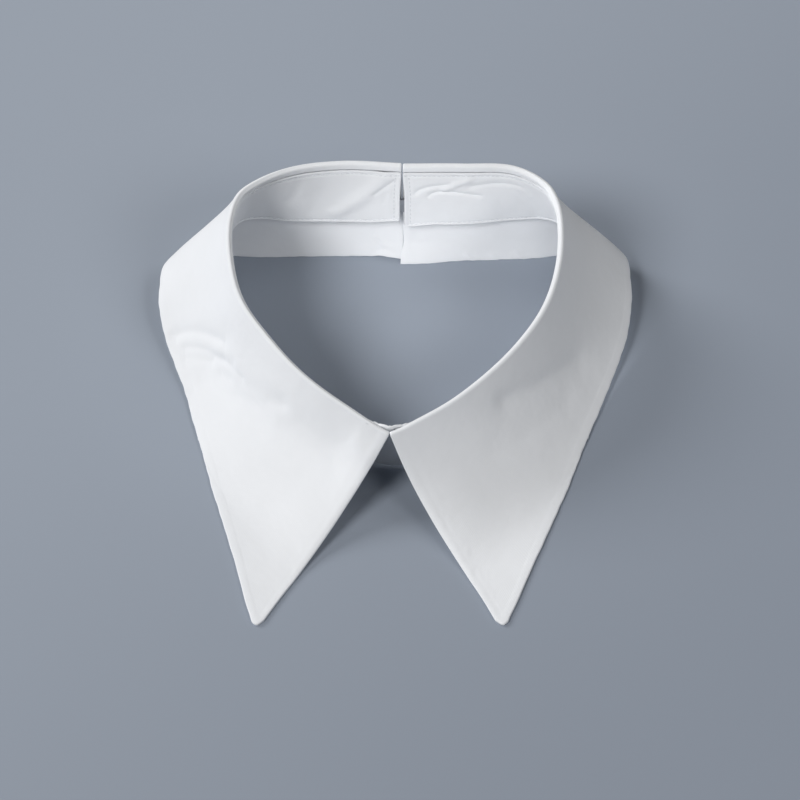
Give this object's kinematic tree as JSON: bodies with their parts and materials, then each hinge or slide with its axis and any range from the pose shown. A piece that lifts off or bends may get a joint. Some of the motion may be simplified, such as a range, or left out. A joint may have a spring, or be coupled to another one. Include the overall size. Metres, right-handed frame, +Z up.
{
  "type": "detachable collar",
  "caption": "Detachable shirt collar with long pointed leaves folded over a stand, open neck and a closed back opening.",
  "frame": {"origin": "middle of the overall box, on the table plane that the collar rests on", "axes": "+X to the right of the collar as it lies open towards the viewer, +Y from the leaf points to the back opening, +Z up from the table"},
  "size_m": [0.1868, 0.1878, 0.045],
  "materials": {
    "leaf_cloth": "matt white woven cotton",
    "stand_cloth": "matt white woven cotton",
    "clasp_metal": "plain dull metal"
  },
  "bodies": {
    "root": {"leaf_left": "leaf_cloth", "leaf_right": "leaf_cloth", "collar_stand": "stand_cloth", "back_clasp": "clasp_metal"}
  },
  "joints": []
}
